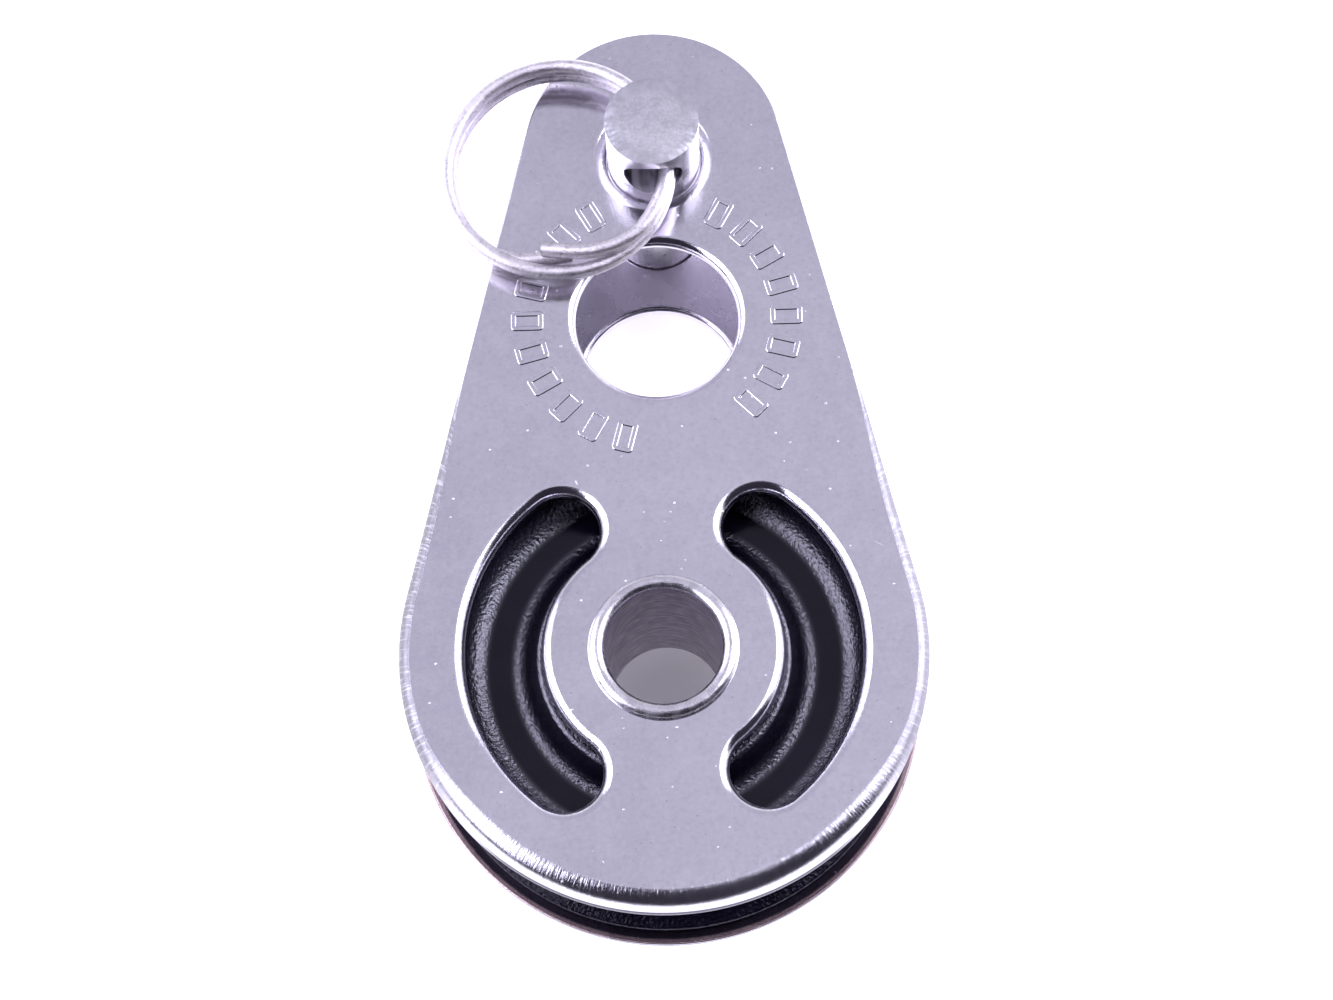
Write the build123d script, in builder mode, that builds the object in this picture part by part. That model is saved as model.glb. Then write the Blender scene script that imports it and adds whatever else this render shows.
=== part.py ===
# Single sheave block: a free running grooved wheel between two pressed stainless cheeks,
# carried on a riveted hollow axle, with a clevis pin and split ring at the narrow end.
# Frame: the block lies flat, X across, +Y from the axle toward the clevis pin, +Z along
# the axle. The origin is the centre of the axle, midway between the two cheeks.

import os
from math import cos, pi, radians, sin, sqrt

from build123d import *

os.makedirs("parts", exist_ok=True)

# --- driving dimensions, mm ---------------------------------------------------------

half_width = 6.7          # mid-plane to the outer face of either cheek
sheet = 1.2               # cheek sheet thickness
cheek_r = 17.35           # round end of a cheek, about the axle
head_r = 8.9              # narrow end of a cheek
head_y = 35.6             # centre of the narrow end
pin_y = 35.1              # clevis pin axis
becket_y = 23.1           # centre of the large round opening
becket_r = 5.5            # its clear radius

slot_outer_r = 13.02      # kidney slot, outer wall about the axle
slot_inner_r = 8.0        # kidney slot, inner wall about the axle
slot_angle = 38.8         # slot end centre, measured from the length axis, degrees

slot_roll = 0.75          # rounding of a slot edge on the outer face
slot_back_roll = 0.4      # and on the inner face
becket_roll = 0.6         # rounding of the round opening on the outer face
becket_back_roll = 0.5    # and on the inner face
pin_hole_roll = 0.95      # rounding of the pin hole on the outer face
pin_hole_back_roll = 0.2  # and on the inner face
rim_depth = 1.75          # outer face to the end of the turned-in outer rim
rim_wall = 1.15           # wall thickness of that rim
rim_roll = 1.6            # outside radius of that rim
rim_end_y = 12.0          # the full rim stops here
rim_fade_y = 17.0         # and the shallow rim stops here

axle_od = 8.8             # hollow rivet outside diameter
axle_bore = 7.7           # through bore of the rivet
collar_r = 4.95           # rolled-over end
collar_rise = 0.55        # rolled end above the cheek face
bush_od = 10.4            # spacer bush the sheave runs on

sheave_r = 16.5           # rim radius of the sheave
sheave_half = 4.7         # half width over the rim
sheave_bore_r = 5.25      # running clearance on the bush
hub_half = 5.42           # half width of the hub boss
hub_boss_r = 6.5          # hub boss radius
groove_c = 17.3           # rope groove arc centre radius
groove_r = 4.1            # rope groove arc radius
channel_in = 8.35         # side channel mouth, inner radius
channel_out = 13.4        # side channel mouth, outer radius
floor_in = 9.35           # side channel floor, inner corner radius
floor_out = 12.5          # side channel floor, outer corner radius
channel_floor = 2.4       # half width left at the channel floor

pin_d = 6.35              # clevis pin shank
pin_hole_r = 3.25         # pin hole in a cheek
pin_rise = 5.5            # pin end above the front cheek
pin_head_d = 9.4          # flat head under the rear cheek
pin_head_t = 1.7          # head thickness
pin_gap = 0.05            # head to cheek play
cross_r = 2.0             # cross hole in the pin
cross_rise = 2.75         # cross hole axis above the front cheek

wire_d = 1.05             # split ring wire
ring_r = 7.53             # split ring centre line radius
ring_x = -6.5             # split ring centre, across
ring_y = 33.33            # split ring centre, along
ring_rise = 1.83          # split ring centre above the front cheek
ring_roll = 5.0           # ring side toward the pin is higher, degrees
ring_pitch = 0.0          # ring side away from the axle is higher, degrees
turn_gap = 0.06           # gap between the two turns
end_inset = 1.5           # how far the free ends stand inside the ring
end_a = -100.0            # angle of the first free end, degrees
end_b = 638.0             # angle of the second free end, degrees

# --- kidney slot construction values ------------------------------------------------

slot_mid_r = (slot_outer_r + slot_inner_r) / 2
slot_cap_r = (slot_outer_r - slot_inner_r) / 2
slot_x = slot_mid_r * sin(radians(slot_angle))
slot_y = slot_mid_r * cos(radians(slot_angle))

# --- front cheek --------------------------------------------------------------------

# round end, full depth, with the rolled outer rim
with BuildPart() as round_end:
    with BuildSketch(Plane.XY.offset(half_width - rim_depth)):
        Circle(cheek_r)
        with Locations((0, head_y)):
            Circle(head_r)
        make_hull()
        with Locations((0, rim_end_y - 50)):
            Rectangle(100, 100, mode=Mode.INTERSECT)
    extrude(amount=rim_depth)
    face_up = round_end.faces().sort_by(Axis.Z)[-1]
    rolled = face_up.edges().filter_by(lambda e: e.center().Y < rim_end_y - 0.1)
    fillet(rolled, radius=rim_roll)
    with BuildSketch(Plane.XY.offset(half_width - rim_depth)):
        Circle(cheek_r - rim_wall)
        with Locations((0, head_y)):
            Circle(head_r - rim_wall)
        make_hull()
    extrude(amount=rim_depth - sheet, mode=Mode.SUBTRACT)

# short band where the rim gets shallower
with BuildPart() as fade_band:
    with BuildSketch(Plane.XY.offset(half_width - sheet - 0.25)):
        Circle(cheek_r)
        with Locations((0, head_y)):
            Circle(head_r)
        make_hull()
        with Locations((0, (rim_end_y + rim_fade_y) / 2)):
            Rectangle(100, rim_fade_y - rim_end_y, mode=Mode.INTERSECT)
    extrude(amount=sheet + 0.25)
    band_up = fade_band.faces().sort_by(Axis.Z)[-1]
    sides = band_up.edges().filter_by(lambda e: abs(e.center().X) > 5)
    fillet(sides, radius=rim_roll / 2)
    with BuildSketch(Plane.XY.offset(half_width - sheet - 0.25)):
        Circle(cheek_r - rim_wall)
        with Locations((0, head_y)):
            Circle(head_r - rim_wall)
        make_hull()
    extrude(amount=0.25, mode=Mode.SUBTRACT)

# narrow end, plain sheet
with BuildPart() as narrow_end:
    with BuildSketch(Plane.XY.offset(half_width - sheet)):
        Circle(cheek_r)
        with Locations((0, head_y)):
            Circle(head_r)
        make_hull()
        with Locations((0, rim_fade_y + 50)):
            Rectangle(100, 100, mode=Mode.INTERSECT)
    extrude(amount=sheet)
    head_up = narrow_end.faces().sort_by(Axis.Z)[-1]
    plain = head_up.edges().filter_by(lambda e: e.center().Y > rim_fade_y + 0.1)
    fillet(plain, radius=0.2)

with BuildPart() as front_cheek:
    add(round_end.part)
    add(fade_band.part)
    add(narrow_end.part)
    # clear openings
    with BuildSketch(Plane.XY.offset(half_width - 3)):
        with Locations((0, becket_y)):
            Circle(becket_r)
        with Locations((0, pin_y)):
            Circle(pin_hole_r)
    extrude(amount=4, mode=Mode.SUBTRACT)
    with BuildSketch(Plane.XY.offset(half_width - 3)) as slots:
        with BuildLine():
            CenterArc((0, 0), slot_mid_r, 90 - slot_angle, -(180 - 2 * slot_angle))
        trace(line_width=2 * slot_cap_r)
        with Locations((slot_x, slot_y), (slot_x, -slot_y)):
            Circle(slot_cap_r)
        mirror(about=Plane.YZ)
    extrude(amount=4, mode=Mode.SUBTRACT)
    # every opening is rounded on both faces of the sheet
    outer_face = front_cheek.faces().sort_by(Axis.Z)[-1]
    for wire in outer_face.inner_wires():
        along = wire.center().Y
        if along > pin_y - 2:
            fillet(wire.edges(), radius=pin_hole_roll)
        elif along > becket_y - 2:
            fillet(wire.edges(), radius=becket_roll)
        else:
            fillet(wire.edges(), radius=slot_roll)
    level = half_width - sheet
    inner_faces = front_cheek.faces().filter_by(lambda f: abs(f.center().Z - level) < 0.01)
    for wire in inner_faces.sort_by(SortBy.AREA)[-1].inner_wires():
        along = wire.center().Y
        if along > pin_y - 2:
            fillet(wire.edges(), radius=pin_hole_back_roll)
        elif along > becket_y - 2:
            fillet(wire.edges(), radius=becket_back_roll)
        else:
            fillet(wire.edges(), radius=slot_back_roll)
    with BuildSketch(Plane.XY.offset(half_width - 3)):
        Circle(axle_od / 2)
    extrude(amount=4, mode=Mode.SUBTRACT)

# --- rear cheek: the same pressing turned over ---------------------------------------

with BuildPart() as rear_cheek:
    add(front_cheek.part.mirror(Plane.XY))

# --- sheave -------------------------------------------------------------------------

rim_x = sqrt(groove_r ** 2 - (groove_c - sheave_r) ** 2)

with BuildPart() as sheave:
    with BuildSketch(Plane.XZ) as sheave_section:
        with BuildLine():
            Polyline(
                (sheave_bore_r, -hub_half),
                (hub_boss_r, -hub_half),
                (hub_boss_r + 0.5, -sheave_half),
                (channel_in, -sheave_half),
                (floor_in, -channel_floor),
                (floor_out, -channel_floor),
                (channel_out, -sheave_half),
                (sheave_r, -sheave_half),
                (sheave_r, sheave_half),
                (channel_out, sheave_half),
                (floor_out, channel_floor),
                (floor_in, channel_floor),
                (channel_in, sheave_half),
                (hub_boss_r + 0.5, sheave_half),
                (hub_boss_r, hub_half),
                (sheave_bore_r, hub_half),
                close=True,
            )
        make_face()
        with Locations((groove_c, 0)):
            Circle(groove_r, mode=Mode.SUBTRACT)
    revolve(axis=Axis.Z)
    floor_edges = sheave.edges().filter_by(GeomType.CIRCLE).filter_by(
        lambda e: abs(abs(e.center().Z) - channel_floor) < 0.01
    )
    fillet(floor_edges, radius=1.0)
    mouth_edges = sheave.edges().filter_by(GeomType.CIRCLE).filter_by(
        lambda e: abs(abs(e.center().Z) - sheave_half) < 0.01
        and min(abs(e.radius - channel_in), abs(e.radius - channel_out)) < 0.01
    )
    fillet(mouth_edges, radius=0.4)
    round_edges = sheave.edges().filter_by(GeomType.CIRCLE)
    rim_edges = round_edges.filter_by(lambda e: abs(e.radius - sheave_r) < 0.01)
    fillet(rim_edges, radius=0.25)

# --- bearing bush and hollow axle ----------------------------------------------------

with BuildPart() as bush:
    with BuildSketch(Plane.XY.offset(-(half_width - sheet))):
        Circle(bush_od / 2)
        Circle(axle_od / 2, mode=Mode.SUBTRACT)
    extrude(amount=2 * (half_width - sheet))
    bush_round = bush.edges().filter_by(GeomType.CIRCLE)
    bush_ends = bush_round.filter_by(lambda e: abs(e.radius - bush_od / 2) < 0.01)
    chamfer(bush_ends, length=0.2)

top = half_width + collar_rise
bore = axle_bore / 2
crest = 4.28

with BuildPart() as axle_rivet:
    with BuildSketch(Plane.XZ) as rivet_section:
        with BuildLine():
            Line((axle_od / 2, 0), (axle_od / 2, half_width))
            Line((axle_od / 2, half_width), (collar_r - 0.05, half_width))
            Line((collar_r - 0.05, half_width), (collar_r, half_width + 0.08))
            ThreePointArc(
                (collar_r, half_width + 0.08), (collar_r - 0.16, top - 0.12), (crest, top)
            )
            ThreePointArc((crest, top), (bore + 0.11, top - 0.13), (bore, top - 0.45))
            Line((bore, top - 0.45), (bore, 0))
            Line((bore, 0), (axle_od / 2, 0))
        make_face()
    revolve(axis=Axis.Z)
    mirror(about=Plane.XY)

# --- clevis pin ---------------------------------------------------------------------

head_top = -half_width - pin_gap
pin_end = half_width + pin_rise

with BuildPart() as clevis_pin:
    with BuildSketch(Plane.XY.offset(head_top - pin_head_t)):
        with Locations((0, pin_y)):
            Circle(pin_head_d / 2)
    extrude(amount=pin_head_t)
    low_edge = clevis_pin.edges().sort_by(Axis.Z)[0]
    fillet(low_edge, radius=0.5)
    with BuildSketch(Plane.XY.offset(head_top)):
        with Locations((0, pin_y)):
            Circle(pin_d / 2)
    extrude(amount=pin_end - head_top)
    end_edge = clevis_pin.edges().sort_by(Axis.Z)[-1]
    chamfer(end_edge, length=0.18)
    with BuildSketch(Plane.XZ.offset(-pin_y - 10)):
        with Locations((0, half_width + cross_rise)):
            Circle(cross_r)
    extrude(amount=20, mode=Mode.SUBTRACT)
    mouth = clevis_pin.edges().filter_by(
        lambda e: e.geom_type not in (GeomType.CIRCLE, GeomType.LINE)
        and e.center().Z > half_width
    )
    chamfer(mouth, length=0.2)

# --- split ring ---------------------------------------------------------------------

wire_r = wire_d / 2
level = (wire_d + turn_gap) / 2
ring_z = half_width + ring_rise
roll = radians(ring_roll)
pitch = radians(ring_pitch)


def ease(value):
    value = min(1.0, max(0.0, value))
    return value * value * (3 - 2 * value)


def wire_point(angle):
    # the free ends bend inward, the middle of the wire changes level between them
    inset = ease((end_a + 65 - angle) / 65) + ease((angle - end_b + 65) / 65)
    radius = ring_r - end_inset * inset
    drop = ease((angle - 219) / 100)
    height = level * (1 - 2 * drop)
    u = radius * cos(radians(angle))
    v = radius * sin(radians(angle))
    along = v * cos(pitch) - height * sin(pitch)
    lift = v * sin(pitch) + height * cos(pitch)
    across = u * cos(roll) - lift * sin(roll)
    up = u * sin(roll) + lift * cos(roll)
    return (ring_x + across, ring_y + along, ring_z + up)


ring_steps = 123
ring_step = (end_b - end_a) / ring_steps

with BuildPart() as split_ring:
    with BuildLine() as ring_path:
        Spline(*[wire_point(end_a + ring_step * i) for i in range(ring_steps + 1)])
    with BuildSketch(Plane(origin=ring_path.line @ 0, z_dir=ring_path.line % 0)):
        Circle(wire_r)
    sweep(path=ring_path.line)

# --- hand out the pieces ------------------------------------------------------------

front_cheek.part.label = "front_cheek"
rear_cheek.part.label = "rear_cheek"
sheave.part.label = "sheave"
bush.part.label = "bearing_bush"
axle_rivet.part.label = "axle_rivet"
clevis_pin.part.label = "clevis_pin"
split_ring.part.label = "split_ring"

export_step(front_cheek.part, "parts/front_cheek.step")
export_step(rear_cheek.part, "parts/rear_cheek.step")
export_step(sheave.part, "parts/sheave.step")
export_step(bush.part, "parts/bearing_bush.step")
export_step(axle_rivet.part, "parts/axle_rivet.step")
export_step(clevis_pin.part, "parts/clevis_pin.step")
export_step(split_ring.part, "parts/split_ring.step")
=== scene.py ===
import math

import bpy
from mathutils import Matrix, Vector
from mathutils.geometry import delaunay_2d_cdt


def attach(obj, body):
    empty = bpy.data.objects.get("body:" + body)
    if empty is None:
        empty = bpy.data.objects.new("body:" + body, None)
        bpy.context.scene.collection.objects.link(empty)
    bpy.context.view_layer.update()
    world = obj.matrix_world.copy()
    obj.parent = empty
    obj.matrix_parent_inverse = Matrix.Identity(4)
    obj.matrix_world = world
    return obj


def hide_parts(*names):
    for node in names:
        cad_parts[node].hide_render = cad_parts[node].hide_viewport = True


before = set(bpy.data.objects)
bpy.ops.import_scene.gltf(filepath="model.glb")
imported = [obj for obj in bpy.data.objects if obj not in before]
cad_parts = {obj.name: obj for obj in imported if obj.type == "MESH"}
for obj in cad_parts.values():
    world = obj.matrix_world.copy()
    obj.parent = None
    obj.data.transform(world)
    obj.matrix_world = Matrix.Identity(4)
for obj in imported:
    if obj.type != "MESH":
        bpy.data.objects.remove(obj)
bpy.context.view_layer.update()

MM = 0.001

# ------------------------------------------------------------------ sizes, mm
HALF_W = 6.7
SHEET = 1.2
CHEEK_R = 17.348
HEAD_R = 8.9
HEAD_Y = 35.6
PIN_Y = 35.1
BECKET_Y = 23.1
BECKET_R = 5.5
SLOT_OUT = 13.02
SLOT_IN = 8.0
SLOT_ANGLE = math.radians(38.8)
RIM_DEPTH = 1.75
RIM_WALL = 1.15
RIM_ROLL = 1.6
PIN_HOLE_R = 3.25
PIN_R = 3.175
PIN_TOP = HALF_W + 5.5
HEAD_TOP = -HALF_W - 0.05
HEAD_LOW = HEAD_TOP - 1.7
CROSS_R = 2.0
CROSS_Z = HALF_W + 2.75
FLOOR_Z = HEAD_LOW

SLOT_MID = (SLOT_OUT + SLOT_IN) / 2
SLOT_CAP = (SLOT_OUT - SLOT_IN) / 2

# roundings of each opening's edge, on the outer and the inner face of the sheet
BECKET_ROLLS = (0.6, 0.5)
PIN_HOLE_ROLLS = (0.95, 0.2)
SLOT_ROLLS = (0.75, 0.4)
AXLE_HOLE_ROLLS = (0.1, 0.05)

# the rim is rolled less along the flanks than at the foot, and its edge is only broken round the head
FLANK_ROLL = 0.85
HEAD_ROLL = 0.2
RIM_EDGE = 0.14

SHEAVE_R = 16.5
SHEAVE_HALF = 4.7
HUB_HALF = 5.42
GROOVE_CENTRE = 17.3
GROOVE_R = 4.1
CHANNEL_FLOOR = 2.4

AXLE_R = 4.4
BORE_R = 3.85
BUSH_R = 5.2
BUSH_HALF = 5.49
PIN_HEAD_R = 4.7

WIRE_R = 0.525
WIRE_LEVEL = (2 * WIRE_R + 0.06) / 2
RING_R = 7.53
RING_INSET = 1.5
RING_CENTRE = (-6.5, 33.33, HALF_W + 1.83)
RING_ROLL = math.radians(5.0)


def ease(v):
    v = min(1.0, max(0.0, v))
    return v * v * (3 - 2 * v)


# ------------------------------------------------------------------ mesh helpers
def build(name, verts, faces, normals=None, uvs=None):
    me = bpy.data.meshes.new(name)
    me.from_pydata([(x * MM, y * MM, z * MM) for x, y, z in verts], [], faces)
    me.polygons.foreach_set("use_smooth", [True] * len(me.polygons))
    if uvs is not None:
        layer = me.uv_layers.new(name="UVMap")
        for poly in me.polygons:
            for li, vi in zip(poly.loop_indices, poly.vertices):
                layer.data[li].uv = uvs[vi]
    me.update()
    if normals is not None:
        me.normals_split_custom_set_from_vertices([Vector(n).normalized() for n in normals])
    obj = bpy.data.objects.new(name, me)
    bpy.context.scene.collection.objects.link(obj)
    return obj


def rounded(points, steps=8):
    """Closed section, counter-clockwise, corners (x, y, radius) turned into arcs.
    Gives (x, y, nx, ny) with exact outward normals."""
    out = []
    n = len(points)
    for i in range(n):
        px, py = points[i - 1][:2]
        cx, cy, r = points[i]
        qx, qy = points[(i + 1) % n][:2]
        a1 = math.atan2(cy - py, cx - px)
        a2 = math.atan2(qy - cy, qx - cx)
        turn = (a2 - a1 + math.pi) % (2 * math.pi) - math.pi
        if r <= 0 or abs(turn) < 0.2:
            am = a1 + turn / 2
            out.append((cx, cy, math.sin(am), -math.cos(am)))
            continue
        t = r * math.tan(abs(turn) / 2)
        sx, sy = cx - math.cos(a1) * t, cy - math.sin(a1) * t
        s = 1 if turn > 0 else -1
        ox, oy = sx - math.sin(a1) * r * s, sy + math.cos(a1) * r * s
        for k in range(steps + 1):
            a = a1 + turn * k / steps
            out.append((ox + math.sin(a) * r * s, oy - math.cos(a) * r * s, math.sin(a), -math.cos(a)))
    return out


def lathe(name, section, centre=(0, 0), segs=256, closed=True):
    verts, normals, rings = [], [], []
    for r, z, nr, nz in section:
        if r < 1e-6:
            rings.append([len(verts)] * segs)
            verts.append((centre[0], centre[1], z))
            normals.append((0, 0, 1 if nz > 0 else -1))
            continue
        ring = []
        for k in range(segs):
            a = 2 * math.pi * k / segs
            ring.append(len(verts))
            verts.append((centre[0] + r * math.cos(a), centre[1] + r * math.sin(a), z))
            normals.append((nr * math.cos(a), nr * math.sin(a), nz))
        rings.append(ring)
    faces = []
    count = len(rings)
    for i in range(count if closed else count - 1):
        a, b = rings[i], rings[(i + 1) % count]
        for k in range(segs):
            m = (k + 1) % segs
            quad = [a[k], a[m], b[m], b[k]]
            quad = [v for j, v in enumerate(quad) if v != quad[j - 1]]
            if len(quad) > 2:
                faces.append(quad)
    return build(name, verts, faces, normals)


# ------------------------------------------------------------------ raised bars
BAR_RADIUS = 8.75
BAR_PITCH = math.radians(15)
BAR_RISE = 0.06
BAR_HALF_WIDE = 0.72
BAR_HALF_LONG = 1.12
BAR_CORNER = 0.3
BAR_LINE = 0.30
BAR_SLOPE = 0.10


def bar_outline(inset):
    """Rounded oblong in the bar's own axes, counter-clockwise."""
    pts = []
    reach_wide, reach_long = BAR_HALF_WIDE - BAR_CORNER, BAR_HALF_LONG - BAR_CORNER
    corner = max(BAR_CORNER - inset, 0.04)
    shift = max(inset - BAR_CORNER + 0.04, 0.0)
    for quarter, (sx, sy) in enumerate(((1, 1), (-1, 1), (-1, -1), (1, -1))):
        for k in range(7):
            a = math.pi / 2 * (quarter + k / 6)
            wide = sx * (reach_wide - shift) + corner * math.cos(a)
            along = sy * (reach_long - shift) + corner * math.sin(a)
            pts.append((wide, along))
    return pts


def raised_bars():
    """Two arcs of plain hollow bars about the large round opening of the front cheek."""
    profile = ((0.0, -0.02), (0.03, 0.3), (BAR_SLOPE * 0.6, 0.85), (BAR_SLOPE, 1.0))
    rings = [(inset, max(level, 0) * BAR_RISE + min(level, 0)) for inset, level in profile]
    rings += [(BAR_LINE + BAR_SLOPE - inset, rise) for inset, rise in reversed(rings)]
    verts, faces = [], []
    for index in list(range(-3, 5)) + list(range(8, 18)):
        turn = BAR_PITCH * index
        out = (math.cos(turn), math.sin(turn))
        side_way = (-math.sin(turn), math.cos(turn))
        start = len(verts)
        count = len(bar_outline(0.0))
        for inset, rise in rings:
            for wide, along in bar_outline(inset):
                reach = BAR_RADIUS + along
                x = reach * out[0] - wide * side_way[0]
                y = BECKET_Y + reach * out[1] - wide * side_way[1]
                verts.append((x, y, HALF_W + rise))
        for i in range(len(rings) - 1):
            for k in range(count):
                m = (k + 1) % count
                row, above = start + i * count, start + (i + 1) * count
                faces.append((row + k, row + m, above + m, above + k))
    return verts, faces


def smooth_normals(verts, faces):
    """A normal for each vertex, from the faces round it."""
    total = [Vector((0, 0, 0)) for v in verts]
    for face in faces:
        a, b, c = (Vector(verts[v]) for v in face[:3])
        across = (b - a).cross(c - a)
        for v in face:
            total[v] += across
    return [tuple(t) for t in total]


# ------------------------------------------------------------------ cheeks
def circle_loop(cx, cy, r, n):
    """Points and the direction out of the sheet, into the opening."""
    pts = []
    for k in range(n):
        a = 2 * math.pi * k / n
        pts.append((cx + r * math.cos(a), cy + r * math.sin(a), -math.cos(a), -math.sin(a)))
    return pts


def outline_loop():
    tilt = math.asin((CHEEK_R - HEAD_R) / HEAD_Y)
    pts = []
    n = 300
    a0, a1 = math.pi - tilt, 2 * math.pi + tilt
    for k in range(n + 1):
        a = a0 + (a1 - a0) * k / n
        pts.append((CHEEK_R * math.cos(a), CHEEK_R * math.sin(a), math.cos(a), math.sin(a)))
    nx, ny = math.cos(tilt), math.sin(tilt)
    x0, y0 = CHEEK_R * nx, CHEEK_R * ny
    x1, y1 = HEAD_R * nx, HEAD_Y + HEAD_R * ny
    m = 90
    for k in range(1, m):
        t = k / m
        pts.append((x0 + (x1 - x0) * t, y0 + (y1 - y0) * t, nx, ny))
    h = 130
    for k in range(h + 1):
        a = tilt + (math.pi - 2 * tilt) * k / h
        pts.append((HEAD_R * math.cos(a), HEAD_Y + HEAD_R * math.sin(a), math.cos(a), math.sin(a)))
    for k in range(1, m):
        t = 1 - k / m
        pts.append((-(x0 + (x1 - x0) * t), y0 + (y1 - y0) * t, -nx, ny))
    return pts


def slot_loop(side):
    pts = []
    steps, cap = 90, 40
    lo, hi = SLOT_ANGLE, math.pi - SLOT_ANGLE
    for k in range(steps + 1):
        a = lo + (hi - lo) * k / steps
        s, c = math.sin(a), math.cos(a)
        pts.append((SLOT_OUT * s, SLOT_OUT * c, s, c))
    for end, first in ((hi, 1), (lo, -1)):
        cx, cy = SLOT_MID * math.sin(end), SLOT_MID * math.cos(end)
        base = math.atan2(math.cos(end), math.sin(end))
        if first < 0:
            for k in range(1, steps):
                a = hi + (lo - hi) * k / steps
                s, c = math.sin(a), math.cos(a)
                pts.append((SLOT_IN * s, SLOT_IN * c, -s, -c))
            base += math.pi
        for k in range(1 if first > 0 else 0, cap + (0 if first < 0 else 1)):
            a = base - math.pi * k / cap
            c, s = math.cos(a), math.sin(a)
            pts.append((cx + SLOT_CAP * c, cy + SLOT_CAP * s, c, s))
    return [(side * x, y, -side * nx, -ny) for x, y, nx, ny in pts]


def signed_area(loop):
    total = 0.0
    for i in range(len(loop)):
        x0, y0 = loop[i - 1][:2]
        x1, y1 = loop[i][:2]
        total += x0 * y1 - x1 * y0
    return total / 2


def inside(x, y, loop):
    hit = False
    j = len(loop) - 1
    for i in range(len(loop)):
        xi, yi = loop[i][:2]
        xj, yj = loop[j][:2]
        if (yi > y) != (yj > y) and x < (xj - xi) * (y - yi) / (yj - yi) + xi:
            hit = not hit
        j = i
    return hit


def quarter_turn(step, steps):
    """Sine and cosine part of the way through a right angle."""
    a = math.pi / 2 * step / steps
    return math.sin(a), math.cos(a)


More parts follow.
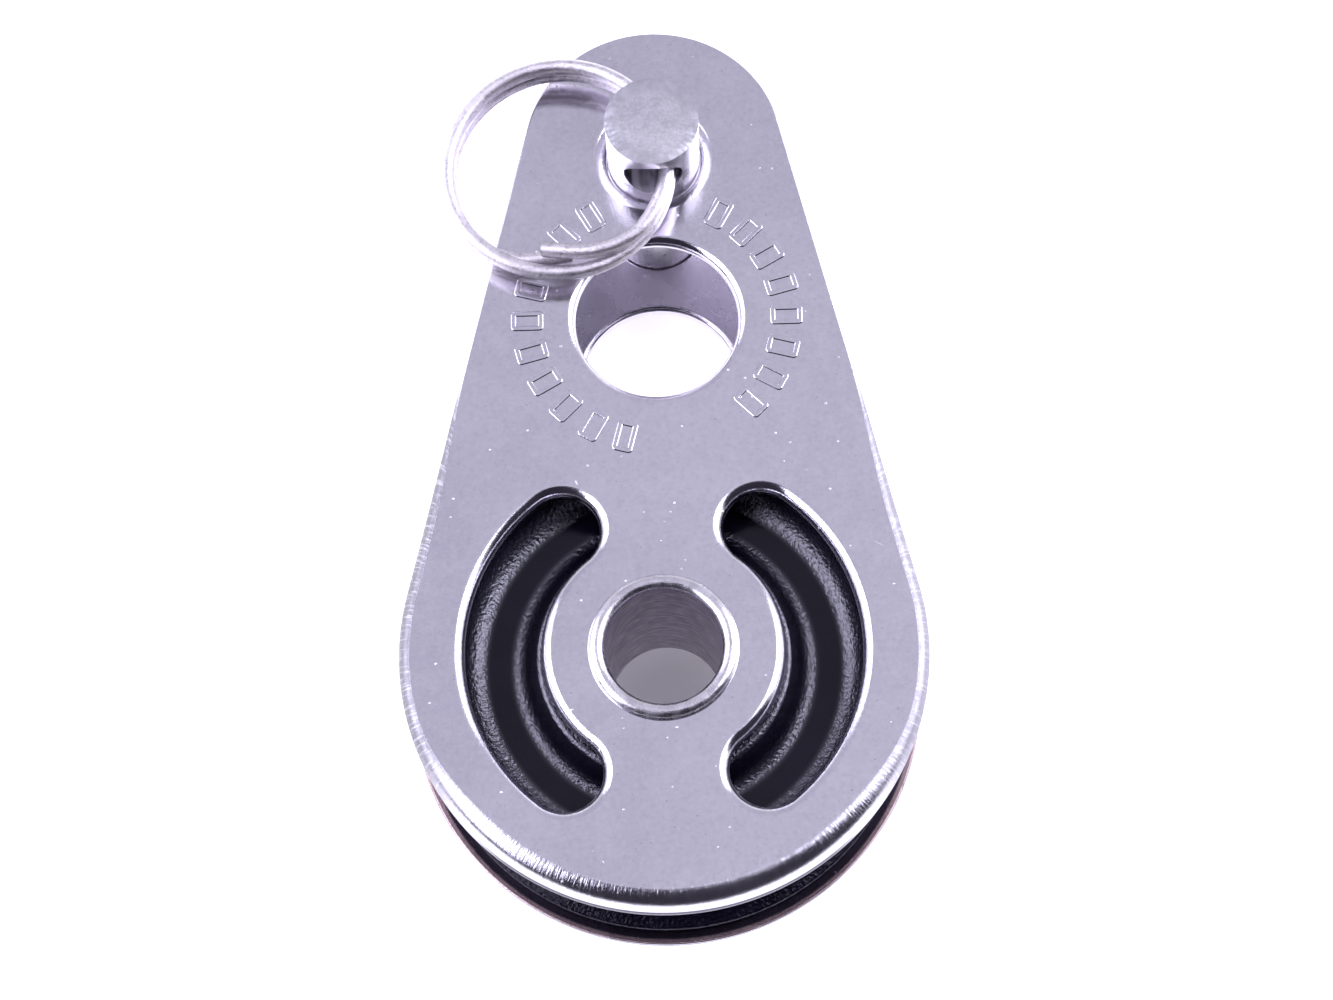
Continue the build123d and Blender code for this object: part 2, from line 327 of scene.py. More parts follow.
def cheek(name, up):
    """One pressing. Outer face at z = 0 going down, then placed; up = 1 front, -1 rear."""
    outer = outline_loop()
    holes = [
        (circle_loop(0, BECKET_Y, BECKET_R, 240), BECKET_ROLLS),
        (circle_loop(0, PIN_Y, PIN_HOLE_R, 160), PIN_HOLE_ROLLS),
        (slot_loop(1), SLOT_ROLLS),
        (slot_loop(-1), SLOT_ROLLS),
        (circle_loop(0, 0, AXLE_R + 0.02, 120), AXLE_HOLE_ROLLS),
    ]
    verts, normals, faces = [], [], []
    top_loops, low_loops = [], []

    def rim_section(y):
        fade = 1 - ease((y - 8) / 12)
        flank = FLANK_ROLL + (RIM_ROLL - FLANK_ROLL) * ease((-4 - y) / 9)
        roll = HEAD_ROLL + (flank - HEAD_ROLL) * fade
        depth = SHEET + (RIM_DEPTH - SHEET) * fade
        t, edge, col = RIM_WALL, RIM_EDGE, []
        for k in range(17):
            s, c = quarter_turn(k, 16)
            col.append((-roll + roll * s, -roll * (1 - c), s, c))
        base = max(depth - edge, roll + 0.01)
        for k in range(5):
            s, c = quarter_turn(k, 4)
            col.append((-edge + edge * c, -base - edge * s, c, -s))
        extra = depth - SHEET
        small = min(0.12, extra / 2)
        for k in range(4):
            s, c = quarter_turn(k, 3)
            if extra > 0.02:
                col.append((-t + small - small * s, -depth + small * (1 - c), -s, -c))
            else:
                col.append((-t - 0.015 * k, -SHEET, 0, -1))
        for k in range(4):
            s, c = quarter_turn(k, 3)
            if extra > 0.02:
                col.append((-t - small * (1 - c), -SHEET - small * (1 - s), -c, -s))
            else:
                col.append((-t - 0.015 * (k + 4), -SHEET, 0, -1))
        return col

    def opening_section(front_roll, back_roll):
        col = []
        for k in range(13):
            s, c = quarter_turn(k, 12)
            col.append((-front_roll * (1 - s), -front_roll * (1 - c), s, c))
        for k in range(9):
            s, c = quarter_turn(k, 8)
            col.append((-back_roll * (1 - c), -SHEET + back_roll * (1 - s), c, -s))
        return col

    def wall(loop, section, is_outer):
        ccw = signed_area(loop) > 0
        columns = []
        for x, y, nx, ny in loop:
            ids = []
            for off, z, a, b in section(y):
                ids.append(len(verts))
                verts.append((x + nx * off, y + ny * off, z))
                normals.append((nx * a, ny * a, b))
            columns.append(ids)
        count = len(columns)
        flip = (ccw != is_outer)
        for i in range(count):
            a, b = columns[i], columns[(i + 1) % count]
            for k in range(len(a) - 1):
                quad = (a[k], a[k + 1], b[k + 1], b[k])
                faces.append(quad[::-1] if flip else quad)
        top_loops.append([c[0] for c in columns])
        low_loops.append([c[-1] for c in columns])

    wall(outer, rim_section, True)
    for loop, rolls in holes:
        col = opening_section(*rolls)
        wall(loop, lambda y, c=col: c, False)

    for loops, side in ((top_loops, 1), (low_loops, -1)):
        points, edges, ids = [], [], []
        for loop in loops:
            start = len(points)
            for i, v in enumerate(loop):
                points.append(Vector(verts[v][:2]))
                ids.append(v)
                edges.append((start + i, start + (i + 1) % len(loop)))
        vs, es, fs, ov, oe, of_ = delaunay_2d_cdt(points, edges, [], 0, 1e-6)
        polys = [[verts[v][:2] for v in loop] for loop in loops]
        for f in fs:
            cx = sum(vs[v].x for v in f) / len(f)
            cy = sum(vs[v].y for v in f) / len(f)
            if not inside(cx, cy, polys[0]) or any(inside(cx, cy, p) for p in polys[1:]):
                continue
            tri = [ids[ov[v][0]] for v in f]
            (ax, ay), (bx, by), (dx, dy) = (verts[v][:2] for v in tri)
            area = (bx - ax) * (dy - ay) - (by - ay) * (dx - ax)
            if (area > 0) != (side > 0):
                tri.reverse()
            faces.append(tri)
    if up > 0:
        verts = [(x, y, HALF_W + z) for x, y, z in verts]
        bar_verts, bar_faces = raised_bars()
        start = len(verts)
        verts += bar_verts
        normals += smooth_normals(bar_verts, bar_faces)
        faces += [tuple(start + v for v in face) for face in bar_faces]
    else:
        verts = [(x, y, -HALF_W - z) for x, y, z in verts]
        normals = [(x, y, -z) for x, y, z in normals]
        faces = [tuple(reversed(f)) for f in faces]
    return build(name, verts, faces, normals)


# ------------------------------------------------------------------ materials
class Nodes:
    def __init__(self, name):
        self.mat = bpy.data.materials.new(name)
        self.mat.use_nodes = True
        self.tree = self.mat.node_tree
        self.tree.nodes.clear()
        self.out = self.tree.nodes.new("ShaderNodeOutputMaterial")
        self.bsdf = self.tree.nodes.new("ShaderNodeBsdfPrincipled")
        self.tree.links.new(self.bsdf.outputs[0], self.out.inputs[0])
        self.coord = self.tree.nodes.new("ShaderNodeTexCoord").outputs["Object"]

    def link(self, a, b):
        self.tree.links.new(a, b)

    def put(self, socket, value):
        if hasattr(value, "is_output"):
            self.link(value, socket)
        else:
            socket.default_value = value

    def math(self, op, a, b=0.0, c=0.0, clamp=False):
        n = self.tree.nodes.new("ShaderNodeMath")
        n.operation = op
        n.use_clamp = clamp
        self.put(n.inputs[0], a)
        self.put(n.inputs[1], b)
        self.put(n.inputs[2], c)
        return n.outputs[0]

    def times(self, a, b):
        return self.math("MULTIPLY", a, b)

    def minus(self, a, b):
        return self.math("SUBTRACT", a, b)

    def absolute(self, a):
        return self.math("ABSOLUTE", a)

    def distance(self, x, y):
        return self.math("SQRT", self.math("ADD", self.times(x, x), self.times(y, y)))

    def xyz(self, vec):
        n = self.tree.nodes.new("ShaderNodeSeparateXYZ")
        self.link(vec, n.inputs[0])
        return n.outputs

    def vec(self, x, y, z):
        n = self.tree.nodes.new("ShaderNodeCombineXYZ")
        for i, v in enumerate((x, y, z)):
            self.put(n.inputs[i], v)
        return n.outputs[0]

    def place(self, vec, scale=(1, 1, 1), rot=(0, 0, 0), loc=(0, 0, 0)):
        n = self.tree.nodes.new("ShaderNodeMapping")
        self.link(vec, n.inputs["Vector"])
        n.inputs["Scale"].default_value = scale
        n.inputs["Rotation"].default_value = rot
        n.inputs["Location"].default_value = loc
        return n.outputs[0]

    def noise(self, vec, scale, detail=2.0, rough=0.5, distortion=0.0):
        n = self.tree.nodes.new("ShaderNodeTexNoise")
        self.link(vec, n.inputs["Vector"])
        n.inputs["Scale"].default_value = scale
        n.inputs["Detail"].default_value = detail
        n.inputs["Roughness"].default_value = rough
        n.inputs["Distortion"].default_value = distortion
        return n.outputs["Fac"]

    def cells(self, vec, scale, feature="F1", randomness=1.0):
        n = self.tree.nodes.new("ShaderNodeTexVoronoi")
        n.feature = feature
        self.link(vec, n.inputs["Vector"])
        n.inputs["Scale"].default_value = scale
        n.inputs["Randomness"].default_value = randomness
        return n

    def ramp(self, fac, lo, hi, a=0.0, b=1.0, smooth=True):
        n = self.tree.nodes.new("ShaderNodeMapRange")
        n.interpolation_type = "SMOOTHSTEP" if smooth else "LINEAR"
        self.put(n.inputs["Value"], fac)
        n.inputs["From Min"].default_value = lo
        n.inputs["From Max"].default_value = hi
        n.inputs["To Min"].default_value = a
        n.inputs["To Max"].default_value = b
        return n.outputs["Result"]

    def mix(self, fac, a, b):
        n = self.tree.nodes.new("ShaderNodeMix")
        n.data_type = "RGBA"
        self.put(n.inputs["Factor"], fac)
        for s, v in ((n.inputs[6], a), (n.inputs[7], b)):
            self.put(s, (*v, 1.0) if isinstance(v, tuple) else v)
        return n.outputs[2]

    def bump(self, height, strength, distance, normal=None):
        n = self.tree.nodes.new("ShaderNodeBump")
        n.inputs["Strength"].default_value = strength
        n.inputs["Distance"].default_value = distance
        self.link(height, n.inputs["Height"])
        if normal is not None:
            self.link(normal, n.inputs["Normal"])
        return n.outputs[0]

    def scratches(self, vec, angle, scale, stretch, width, keep, seed):
        """Thin broken lines: cells drawn out along one direction, only some of them kept."""
        turned = self.place(vec, rot=(0, 0, angle), loc=(seed, seed * 0.7, 0))
        drawn = self.place(turned, scale=(1.0 / stretch, 1.0, 1.0))
        v = self.cells(drawn, scale)
        line = self.ramp(v.outputs["Distance"], width * 0.4, width, 1.0, 0.0)
        pick = self.tree.nodes.new("ShaderNodeSeparateColor")
        self.link(v.outputs["Color"], pick.inputs[0])
        some = self.math("GREATER_THAN", pick.outputs[0], 1 - keep)
        return self.times(line, some)


def add_all(m, items):
    total = items[0]
    for it in items[1:]:
        total = m.math("ADD", total, it)
    return total


def sheet_metal():
    m = Nodes("polished_sheet")
    c = m.coord
    x, y, z = m.xyz(c)
    radius = m.distance(x, y)
    turn = m.math("ARCTAN2", y, x)
    fine = m.noise(c, 9000, 3, 0.65)
    pebble = m.noise(c, 3200, 3, 0.6)
    peel = m.noise(c, 1100, 2, 0.5)
    sway = m.noise(c, 140, 2, 0.5)
    haze = m.noise(c, 75, 6, 0.62)
    cloud = m.noise(c, 380, 4, 0.6, 0.6)
    brushed = m.noise(m.place(c, scale=(1, 0.06, 1)), 5200, 3, 0.6)
    # tumbled outer rim, with hair lines across the rounding; lean is 1 on the flat of the sheet
    facing = m.tree.nodes.new("ShaderNodeNewGeometry").outputs["True Normal"]
    lean = m.absolute(m.xyz(facing)[2])
    near_edge = m.times(m.ramp(radius, 0.0154, 0.0156), m.ramp(y, 0.016, 0.020, 1, 0))
    rim = m.times(m.ramp(lean, 0.9992, 0.985), near_edge)
    edge_only = m.math("MAXIMUM", m.ramp(m.absolute(x), 0.0100, 0.0110), m.ramp(y, 0.004, 0.001))
    rim = m.times(rim, edge_only)
    flank_rim = m.times(rim, m.ramp(y, -0.0125, -0.0060))
    inner = m.times(m.ramp(m.absolute(z), 0.00556, 0.00552), m.ramp(lean, 0.55, 0.75))
    across_rim = m.vec(m.times(turn, 0.017), m.times(radius, 0.10), m.times(z, 0.10))
    hair = m.noise(across_rim, 6500, 3, 0.6)
    marks = add_all(m, [
        m.scratches(c, 0.5, 420, 9, 0.034, 0.34, 0.31),
        m.scratches(c, -0.9, 380, 7, 0.034, 0.30, 0.77),
        m.scratches(c, 1.7, 520, 5, 0.035, 0.18, 0.13),
        m.scratches(c, 2.6, 300, 12, 0.022, 0.14, 0.57),
        m.scratches(c, 1.15, 900, 4, 0.055, 0.30, 0.91),
    ])
    low_marks = m.scratches(c, 0.9, 1500, 3.5, 0.07, 0.30, 0.43)
    low_marks = m.times(low_marks, m.ramp(y, -0.009, -0.014))
    spots = m.cells(c, 1500)
    pick = m.tree.nodes.new("ShaderNodeSeparateColor")
    m.link(spots.outputs["Color"], pick.inputs[0])
    from_spot = spots.outputs["Distance"]
    speck = m.times(m.ramp(from_spot, 0.07, 0.17, 1, 0), m.math("GREATER_THAN", pick.outputs[1], 0.86))
    dark = m.times(m.ramp(from_spot, 0.05, 0.10, 1, 0), m.math("LESS_THAN", pick.outputs[2], 0.03))
    # dried water marks on one flank
    stain_middle = m.ramp(m.absolute(m.minus(y, 0.002)), 0.006, 0.013, 1, 0)
    stain_zone = m.times(m.ramp(x, -0.0118, -0.0140), stain_middle)
    stain_noise = m.minus(m.noise(c, 620, 4, 0.65), 0.52)
    stain_edge = m.ramp(m.absolute(stain_noise), 0.0, 0.035, 1, 0)
    stain = m.times(stain_zone, stain_edge)
    rough = add_all(m, [
        m.ramp(haze, 0.3, 0.7, 0.10, 0.15),
        m.ramp(cloud, 0.45, 0.75, 0.0, 0.04),
        m.times(speck, 0.30),
        m.times(marks, 0.15),
        m.times(stain, 0.10),
        m.times(rim, 0.06),
        m.times(flank_rim, m.ramp(pebble, 0.35, 0.65, 0.22, 0.30)),
        m.times(inner, 0.14),
    ])
    base = m.mix(m.ramp(haze, 0.3, 0.72), (0.715, 0.695, 0.765), (0.765, 0.745, 0.815))
    base = m.mix(m.ramp(cloud, 0.46, 0.62, 0.0, 0.40), base, (0.80, 0.78, 0.84))
    base = m.mix(m.ramp(pebble, 0.52, 0.66, 0.0, 0.20), base, (0.92, 0.91, 0.96))
    base = m.mix(m.ramp(pebble, 0.47, 0.34, 0.0, 0.20), base, (0.52, 0.50, 0.57))
    base = m.mix(m.times(m.math("ADD", marks, low_marks), 0.45), base, (0.97, 0.96, 1.0))
    base = m.mix(m.times(speck, 0.9), base, (1.0, 1.0, 1.0))
    base = m.mix(m.times(dark, 0.5), base, (0.25, 0.23, 0.27))
    base = m.mix(m.times(stain, 0.35), base, (0.55, 0.53, 0.62))
    # painted shade: the flank rim's colour is darkened, more on the left side than on the right
    flank_rim_shade_tint = m.mix(m.ramp(x, -0.004, 0.004), (0.265, 0.258, 0.272), (0.35, 0.34, 0.375))
    base = m.mix(flank_rim, base, flank_rim_shade_tint)
    base = m.mix(m.times(rim, m.ramp(hair, 0.50, 0.66, 0.0, 0.30)), base, (0.96, 0.95, 1.0))
    # painted shade: the steep part of the rim at the foot turns near black
    foot_edge_shade = m.times(m.times(rim, m.ramp(lean, 0.36, 0.26)), m.ramp(y, -0.0115, -0.0140))
    base = m.mix(foot_edge_shade, base, (0.05, 0.045, 0.065))
    # painted shade: the inner faces between the cheeks are darkened, most of all on the left
    inner_face_shade_tint = m.mix(m.ramp(x, -0.0045, 0.0), (0.38, 0.36, 0.415), (0.56, 0.53, 0.60))
    base = m.mix(m.times(inner, 0.85), base, inner_face_shade_tint)
    # painted shade on the inner face near the rim below the head, with a thin brown painted reflection
    # along the very edge
    low_rim = m.times(m.ramp(radius, 0.01610, 0.01625), m.ramp(y, 0.008, 0.004))
    lip = m.mix(m.ramp(radius, 0.01688, 0.01704), (0.06, 0.05, 0.075), (0.60, 0.46, 0.47))
    base = m.mix(m.times(inner, low_rim), base, lip)
    m.link(base, m.bsdf.inputs["Base Color"])
    m.bsdf.inputs["Metallic"].default_value = 1.0
    m.link(rough, m.bsdf.inputs["Roughness"])
    n = m.bump(fine, 0.25, 0.00002)
    n = m.bump(pebble, 0.25, 0.00002, n)
    n = m.bump(brushed, 0.05, 0.00002, n)
    n = m.bump(peel, 0.08, 0.00005, n)
    n = m.bump(sway, 0.10, 0.0001, n)
    n = m.bump(m.times(m.minus(hair, 0.5), rim), 0.6, 0.00005, n)
    n = m.bump(m.minus(speck, m.math("ADD", marks, low_marks)), 0.4, 0.00002, n)
    m.link(n, m.bsdf.inputs["Normal"])
    return m.mat


def turned_metal(name, tint, rings=0.3, rough=(0.16, 0.26), mottle=0.0, centre=(0, 0), bore=0.0):
    m = Nodes(name)
    c = m.coord
    x, y, z = m.xyz(c)
    x = m.minus(x, centre[0] * MM)
    y = m.minus(y, centre[1] * MM)
    radius = m.distance(x, y)
    turn = m.math("ARCTAN2", y, x)
    lap = m.noise(m.vec(m.times(turn, 0.0006), m.times(radius, 1.5), z), 4200, 3, 0.65)
    grain = m.noise(c, 5200, 4, 0.6)
    blotch = m.noise(c, 900, 5, 0.7, 0.4)
    fine = m.noise(c, 14000, 2, 0.5)
    r = m.ramp(blotch, 0.3, 0.7, rough[0], rough[1])
    darker = tuple(v * (0.95 - 0.08 * mottle) for v in tint)
    lighter = tuple(min(1.0, v * 1.05) for v in tint)
    base = m.mix(m.ramp(blotch, 0.35, 0.68), darker, lighter)
    marks = add_all(m, [
        m.scratches(c, 0.4, 900, 7, 0.03, 0.15, 0.2),
        m.scratches(c, 2.0, 800, 6, 0.03, 0.15, 0.9),
    ])
    base = m.mix(m.times(marks, 0.3), base, (1.0, 1.0, 1.0))
    if mottle > 0:
        # the pin's drawn side is duller than its faced end, which is paler where it is worn
        facing = m.xyz(m.tree.nodes.new("ShaderNodeNewGeometry").outputs["True Normal"])[2]
        side = m.ramp(m.absolute(facing), 0.5, 0.2)
        worn = m.ramp(m.math("ADD", radius, m.times(blotch, 0.0012)), 0.0026, 0.0032, 1, 0)
        pale = m.times(worn, m.ramp(grain, 0.40, 0.60, 0.2, 0.7))
        base = m.mix(pale, base, (0.95, 0.94, 0.97))
        r = m.math("ADD", r, m.times(side, 0.12))
        base = m.mix(m.times(side, 0.7), base, (0.95, 0.93, 0.96))
    if bore > 0:
        # reamed bore: its colour is darkened as painted shade, with circling tool marks
        hole = m.ramp(radius, (bore + 0.06) * MM, (bore + 0.02) * MM)
        tool = m.noise(m.vec(m.times(turn, 0.0010), m.times(z, 1.3), radius), 2600, 4, 0.7)
        base = m.mix(hole, base, m.mix(m.ramp(tool, 0.42, 0.62), (0.36, 0.325, 0.40), (0.60, 0.56, 0.63)))
        r = m.math("ADD", r, m.times(hole, 0.12))
    m.link(base, m.bsdf.inputs["Base Color"])
    m.bsdf.inputs["Metallic"].default_value = 1.0
    m.link(r, m.bsdf.inputs["Roughness"])
    n = m.bump(lap, rings, 0.00003)
    if bore > 0:
        n = m.bump(m.times(tool, hole), 0.5, 0.00006, n)
    n = m.bump(grain, 0.12 if mottle == 0 else 0.05, 0.00002, n)
    n = m.bump(fine, 0.15 if mottle == 0 else 0.06, 0.00001, n)
    m.link(n, m.bsdf.inputs["Normal"])
    return m.mat


def wire_metal():
    m = Nodes("drawn_wire")
    c = m.coord
    uv = m.tree.nodes.new("ShaderNodeTexCoord").outputs["UV"]
    lines = m.noise(m.place(uv, scale=(60, 2.0, 1)), 1.0, 3, 0.6)
    grain = m.noise(c, 4800, 4, 0.75)
    blotch = m.noise(c, 1500, 4, 0.7)
    base = m.mix(m.ramp(blotch, 0.3, 0.7), (0.62, 0.59, 0.62), (0.80, 0.77, 0.80))
    base = m.mix(m.ramp(grain, 0.53, 0.64, 0.0, 0.40), base, (0.80, 0.78, 0.82))
    base = m.mix(m.ramp(grain, 0.46, 0.36, 0.0, 0.45), base, (0.18, 0.165, 0.18))
    m.link(base, m.bsdf.inputs["Base Color"])
    m.bsdf.inputs["Metallic"].default_value = 1.0
    m.link(m.ramp(blotch, 0.25, 0.75, 0.30, 0.40), m.bsdf.inputs["Roughness"])
    n = m.bump(lines, 0.12, 0.00004)
    n = m.bump(grain, 0.8, 0.00005, n)
    m.link(n, m.bsdf.inputs["Normal"])
    return m.mat


def black_plastic():
    m = Nodes("black_moulding")
    c = m.coord
    x, y, z = m.xyz(c)
    radius = m.distance(x, y)
    smooth = m.times(m.ramp(radius, 0.0098, 0.0104), m.ramp(radius, 0.0115, 0.0121, 1, 0))
    coarse = m.minus(1.0, smooth)
    spark = m.noise(c, 3600, 3, 0.6)
    pits = m.cells(c, 5200, "SMOOTH_F1").outputs["Distance"]
    fine = m.noise(c, 12000, 2, 0.6)
    wave = m.noise(c, 500, 3, 0.5)
    nicks = add_all(m, [
        m.scratches(c, 0.9, 330, 3.2, 0.055, 0.16, 0.4),
        m.scratches(c, 2.3, 420, 3.5, 0.05, 0.12, 0.85),
    ])
    nicks = m.times(nicks, smooth)
    base = m.mix(m.ramp(wave, 0.3, 0.7), (0.0022, 0.0018, 0.0065), (0.0040, 0.0034, 0.0100))
    m.link(base, m.bsdf.inputs["Base Color"])
    m.link(m.ramp(coarse, 0, 1, 0.15, 0.10), m.bsdf.inputs["Roughness"])
    outer = m.ramp(radius, 0.0136, 0.0141, 1.0, 0.30)
    shine = m.times(m.ramp(coarse, 0, 1, 0.34, 1.0), outer)
    m.link(shine, m.bsdf.inputs["Specular IOR Level"])
    m.bsdf.inputs["Specular Tint"].default_value = (0.90, 0.88, 1.0, 1.0)
    coat = m.times(coarse, m.ramp(radius, 0.0134, 0.0138, 0.7, 0.0))
    m.link(coat, m.bsdf.inputs["Coat Weight"])
    m.bsdf.inputs["Coat Roughness"].default_value = 0.12
    sparkle = m.times(m.minus(spark, 0.5), m.ramp(coarse, 0, 1, 0.02, 1.0))
    n = m.bump(sparkle, 1.0, 0.00008)
    n = m.bump(m.times(m.minus(pits, 0.4), coarse), 0.8, 0.00002, n)
    n = m.bump(fine, 0.12, 0.00002, n)
    n = m.bump(m.times(nicks, -1.0), 1.0, 0.00020, n)
    m.link(n, m.bsdf.inputs["Normal"])
    m.link(n, m.bsdf.inputs["Coat Normal"])
    return m.mat


# ------------------------------------------------------------------ pieces
sheet_mat = sheet_metal()
front = cheek("front_cheek_look", 1)
rear = cheek("rear_cheek_look", -1)

groove_half = math.sqrt(GROOVE_R ** 2 - (GROOVE_CENTRE - SHEAVE_R) ** 2)
groove_reach = math.asin(groove_half / GROOVE_R)
groove = []
for k in range(41):
    a = -groove_reach + 2 * groove_reach * k / 40
    lip = 0.25 if k in (0, 40) else 0
    groove.append((GROOVE_CENTRE - GROOVE_R * math.cos(a), GROOVE_R * math.sin(a), lip))
# each corner of the wheel's side: radius, height, rounding
side_low = [
    (5.25, -HUB_HALF, 0.15),
    (6.5, -HUB_HALF, 0.25),
    (7.0, -SHEAVE_HALF, 0.3),
    (8.35, -SHEAVE_HALF, 0.4),
    (9.3, -CHANNEL_FLOOR, 1.2),
    (12.95, -CHANNEL_FLOOR, 1.8),
    (13.65, -SHEAVE_HALF, 0.35),
    (SHEAVE_R, -SHEAVE_HALF, 0.25),
]
side_high = [(r, -z, f) for r, z, f in reversed(side_low)]
sheave = lathe("sheave_look", rounded(side_low + groove + side_high), segs=360)

bush_in = AXLE_R + 0.02
bush_corners = [
    (bush_in, -BUSH_HALF, 0.1),
    (BUSH_R, -BUSH_HALF, 0.2),
    (BUSH_R, BUSH_HALF, 0.2),
    (bush_in, BUSH_HALF, 0.1),
]
bush = lathe("bush_look", rounded(bush_corners), segs=160)

# rolled ends of the axle: a half-round bead on each cheek
bead = []
for k in range(25):
    a = math.pi * k / 24
    bead.append((4.38 + (0.57 if a < math.pi / 2 else 0.53) * math.cos(a), 6.72 + 0.53 * math.sin(a)))
rivet_section = (
    [(r, -z, 0) for r, z in reversed(bead)]
    + [(4.88, -HALF_W, 0), (AXLE_R, -HALF_W, 0.03), (AXLE_R, HALF_W, 0.03), (4.88, HALF_W, 0)]
    + [(r, z, 0) for r, z in bead]
)
rivet = lathe("axle_look", rounded(rivet_section), segs=256)

# clevis pin: turned body, cross hole cut through, edges broken
pin_section = rounded([
    (0, HEAD_LOW, 0),
    (PIN_HEAD_R, HEAD_LOW, 0.5),
    (PIN_HEAD_R, HEAD_TOP, 0.15),
    (PIN_R, HEAD_TOP, 0),
    (PIN_R, PIN_TOP, 0),
    (0, PIN_TOP, 0),
])
pin_body = lathe("pin_body", pin_section, centre=(0, PIN_Y), segs=192, closed=False)
pin_body.data.transform(Matrix.Scale(1000, 4))
cutter_section = rounded([(0, -10, 0), (CROSS_R, -10, 0), (CROSS_R, 10, 0), (0, 10, 0)])
cutter = lathe("pin_cutter", cutter_section, segs=96, closed=False)
cutter.data.transform(Matrix.Scale(1000, 4))
cutter.data.transform(Matrix.Translation((0, PIN_Y, CROSS_Z)) @ Matrix.Rotation(math.pi / 2, 4, "X"))
cut = pin_body.modifiers.new("cross_hole", "BOOLEAN")
cut.operation = "DIFFERENCE"
cut.object = cutter
cut.solver = "EXACT"
soft = pin_body.modifiers.new("broken_edges", "BEVEL")
soft.width = 0.10
soft.segments = 3
soft.limit_method = "ANGLE"
soft.angle_limit = math.radians(40)
soft.harden_normals = True
bpy.context.view_layer.update()
deps = bpy.context.evaluated_depsgraph_get()
pin_mesh = bpy.data.meshes.new_from_object(pin_body.evaluated_get(deps))
bpy.data.objects.remove(pin_body)
bpy.data.objects.remove(cutter)
pin_mesh.transform(Matrix.Scale(MM, 4))
pin_mesh.materials.clear()
pin = bpy.data.objects.new("pin_look", pin_mesh)
bpy.context.scene.collection.objects.link(pin)

# split ring: two turns of wire, one above the other, with the ends drawn inward
END_A, END_B = -100.0, 638.0


def ring_local(angle):
    inset = ease((END_A + 65 - angle) / 65) + ease((angle - END_B + 65) / 65)
    radius = RING_R - RING_INSET * inset
    height = WIRE_LEVEL * (1 - 2 * ease((angle - 219) / 100))
    a = math.radians(angle)
    return Vector((radius * math.cos(a), radius * math.sin(a), height))


ring_turn = Matrix.Rotation(-RING_ROLL, 3, "Y")
ring_centre = Vector(RING_CENTRE)
steps, around = 820, 28
verts, normals, faces, uvs = [], [], [], []
run = 0.0
last = None
for i in range(steps + 1):
    ang = END_A + (END_B - END_A) * i / steps
    p = ring_local(ang)
    tangent = (ring_local(ang + 0.2) - ring_local(ang - 0.2)).normalized()
    if last is not None:
        run += (p - last).length
    last = p
    out = Vector((math.cos(math.radians(ang)), math.sin(math.radians(ang)), 0))
    out = (out - tangent * out.dot(tangent)).normalized()
    up = tangent.cross(out)
    for k in range(around):
        a = 2 * math.pi * k / around
        d = out * math.cos(a) + up * math.sin(a)
        trim = 1.0
        if i == 0 or i == steps:
            trim = 0.86
        verts.append(tuple(ring_centre + ring_turn @ (p + d * WIRE_R * trim)))
        normals.append(tuple(ring_turn @ d))
        uvs.append((k / around, run / 3.6))
for i in range(steps):
    for k in range(around):
        m = (k + 1) % around
        faces.append((i * around + k, i * around + m, (i + 1) * around + m, (i + 1) * around + k))
for i, sign in ((0, -1), (steps, 1)):
    ang = END_A + (END_B - END_A) * i / steps
    tangent = ring_turn @ (ring_local(ang + 0.2) - ring_local(ang - 0.2)).normalized()
    start = len(verts)
    for k in range(around):
        verts.append(verts[i * around + k])
        normals.append(tuple(tangent * sign))
        uvs.append((0.5, 0.5))
    cap = list(range(start, start + around))
    faces.append(cap[::-1] if sign < 0 else cap)
ring = build("ring_look", verts, faces, normals, uvs)

# ------------------------------------------------------------------ dress and mount
bush_steel = turned_metal("bush_steel", (0.66, 0.65, 0.69))
axle_steel = turned_metal("axle_steel", (0.74, 0.72, 0.76), rings=0.6, rough=(0.20, 0.34), bore=BORE_R)
pin_steel = turned_metal(
    "pin_steel", (0.76, 0.75, 0.80), rings=0.12, rough=(0.14, 0.26), mottle=0.6, centre=(0, PIN_Y)
)
plastic = black_plastic()
looks = (
    (front, "front_cheek", "frame", "polished_sheet", sheet_mat),
    (rear, "rear_cheek", "frame", "polished_sheet", sheet_mat),
    (sheave, "sheave", "wheel", "black_moulding", plastic),
    (bush, "bearing_bush", "frame", "turned_steel", bush_steel),
    (rivet, "axle_rivet", "frame", "turned_steel", axle_steel),
    (pin, "clevis_pin", "pin", "turned_steel", pin_steel),
    (ring, "split_ring", "ring", "drawn_wire", wire_metal()),
)
for obj, node, body, slot, mat in looks:
    obj.data.materials.clear()
    obj.data.materials.append(mat)
    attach(obj, body)
    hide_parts(node)

for node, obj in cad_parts.items():
    obj.data.materials.clear()
    obj.data.materials.append(plastic if node == "sheave" else sheet_mat)

# ------------------------------------------------------------------ floor, light, camera
floor_mesh = bpy.data.meshes.new("floor")
floor_half = 1.5
floor_corners = [(x * floor_half, y * floor_half, 0) for x, y in ((-1, -1), (1, -1), (1, 1), (-1, 1))]
floor_mesh.from_pydata(floor_corners, [], [(0, 1, 2, 3)])
floor = bpy.data.objects.new("floor", floor_mesh)
floor.location = (0, 0, (FLOOR_Z - 0.02) * MM)
bpy.context.scene.collection.objects.link(floor)
fm = Nodes("floor_paper")
fm.bsdf.inputs["Base Color"].default_value = (0.86, 0.86, 0.87, 1)
fm.bsdf.inputs["Roughness"].default_value = 0.7
fm.bsdf.inputs["Specular IOR Level"].default_value = 0.2
fm.bsdf.inputs["Emission Color"].default_value = (0.98, 0.95, 1, 1)
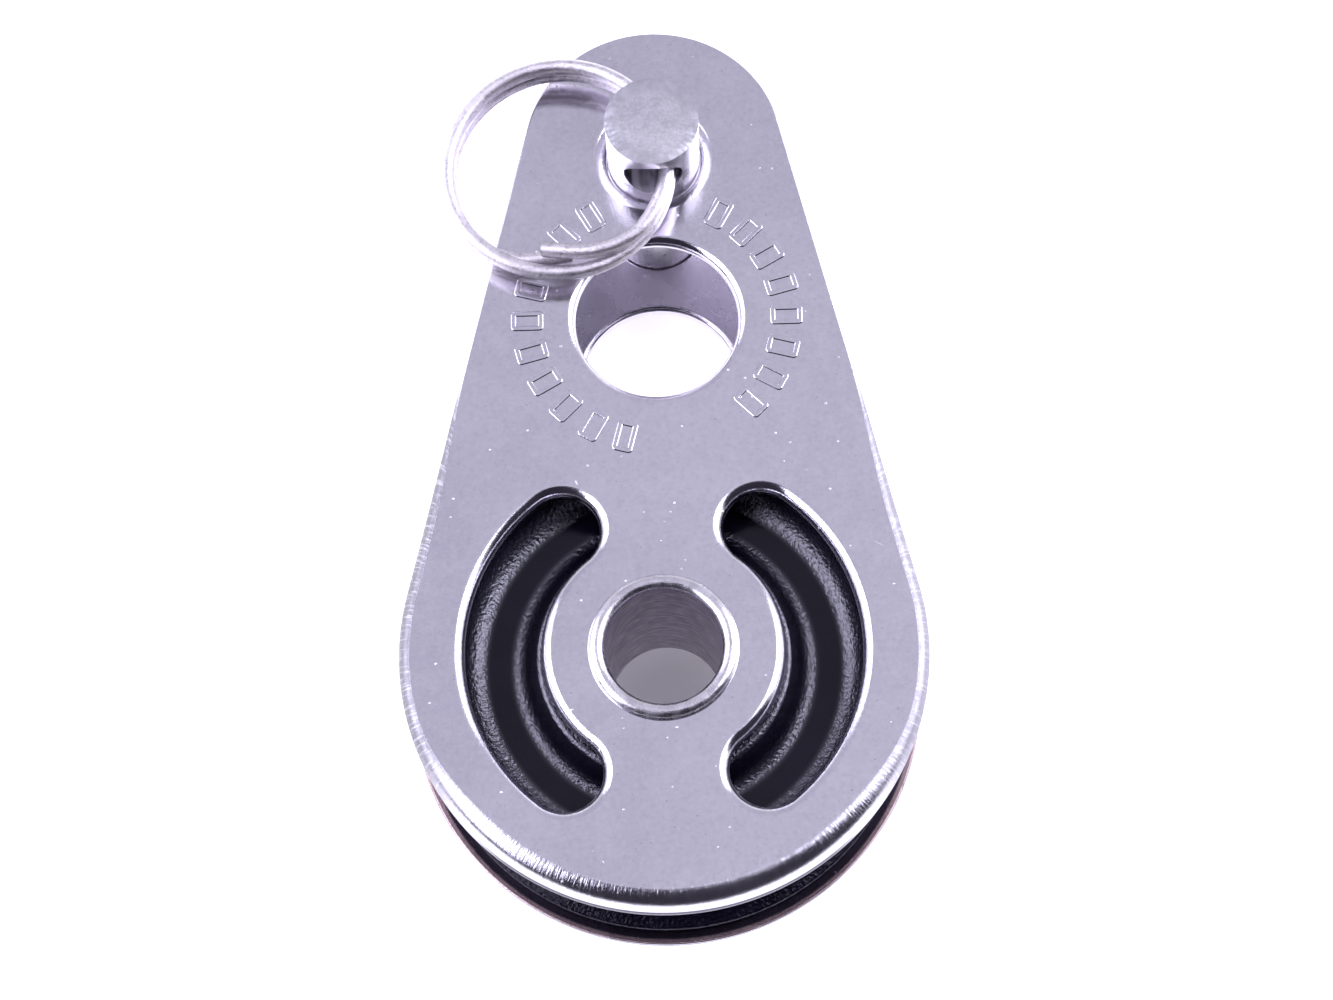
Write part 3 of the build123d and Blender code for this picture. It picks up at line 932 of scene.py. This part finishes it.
# the paper glows as painted light, least of all under the middle of the block, where the dimmer glow is a
# painted shadow
floor_place = fm.xyz(fm.coord)
floor_glow_painted_shadow = fm.ramp(fm.distance(floor_place[0], floor_place[1]), 0.008, 0.013, 0.12, 0.62)
fm.link(floor_glow_painted_shadow, fm.bsdf.inputs["Emission Strength"])
fm.link(fm.bump(fm.noise(fm.coord, 3000, 3), 0.05, 0.00005), fm.bsdf.inputs["Normal"])
floor_mesh.materials.append(fm.mat)

world = bpy.data.worlds.new("studio")
bpy.context.scene.world = world
world.use_nodes = True
wt = world.node_tree
wt.nodes.clear()
w_out = wt.nodes.new("ShaderNodeOutputWorld")
w_bg = wt.nodes.new("ShaderNodeBackground")
wt.links.new(w_bg.outputs[0], w_out.inputs[0])


class Sky(Nodes):
    def __init__(self, tree):
        self.tree = tree


s = Sky(wt)
direction = wt.nodes.new("ShaderNodeTexCoord").outputs["Generated"]
dx, dy, dz = s.xyz(direction)
# a soft box on each side, placed by direction over the size of its sideways part
side = s.math("MAXIMUM", s.absolute(dx), 0.001)
along = s.math("DIVIDE", dy, side)
level = s.math("DIVIDE", dz, side)
is_right = s.math("GREATER_THAN", dx, 0.0)
is_left = s.minus(1.0, is_right)
height = s.times(s.ramp(level, 0.30, 0.42), s.ramp(level, 2.0, 2.9, 1, 0))
left_box = s.times(s.ramp(along, -0.86, -0.72), s.ramp(along, 0.68, 0.92, 1, 0))
right_box = s.times(s.ramp(along, -0.16, 0.04), s.ramp(along, 0.68, 0.92, 1, 0))
boxes = s.math("ADD", s.times(left_box, is_left), s.times(right_box, is_right))
boxes = s.times(boxes, height)
# dim ceiling, a little brighter to the right; paler walls low down
ceiling = s.mix(s.ramp(dx, -0.35, 0.45), (0.575, 0.560, 0.690), (0.690, 0.675, 0.800))
ceiling = s.mix(s.ramp(dy, 0.33, 0.45, 0.0, 0.5), ceiling, (0.50, 0.485, 0.61))
sky = s.mix(s.ramp(dz, 0.42, 0.12), ceiling, (0.95, 0.94, 1.0))
# the dark side of the room, behind the camera
lean = s.math("ARCTAN2", s.times(dy, -1.0), dz)
shade_low = s.ramp(lean, math.radians(84), math.radians(93), 1, 0)
shade = s.times(s.ramp(lean, math.radians(4), math.radians(11)), shade_low)
shade = s.times(shade, s.ramp(along, -0.30, -0.12, 1, 0))
sky = s.mix(shade, sky, (0.030, 0.026, 0.040))
sky = s.mix(boxes, sky, s.mix(is_right, (4.2, 4.1, 5.1), (6.2, 6.1, 7.4)))
wt.links.new(sky, w_bg.inputs["Color"])
w_bg.inputs["Strength"].default_value = 1.0


cam_data = bpy.data.cameras.new("camera")
cam_data.lens = 85.629
cam_data.sensor_width = 36
cam_data.clip_start = 0.01
cam_data.clip_end = 20
cam = bpy.data.objects.new("camera", cam_data)
bpy.context.scene.collection.objects.link(cam)
cam_turn = Matrix((
    (0.999616, 0.025526, 0.010806),
    (-0.020676, 0.946288, -0.322662),
    (-0.018462, 0.322315, 0.946452),
))
cam.rotation_mode = "QUATERNION"
cam.rotation_quaternion = cam_turn.to_quaternion()
cam.location = (0.002663, -0.057571, 0.205210)
bpy.context.scene.camera = cam

view = bpy.context.scene.view_settings
view.view_transform = "Standard"
view.look = "None"
view.exposure = 0.0
view.gamma = 1.0
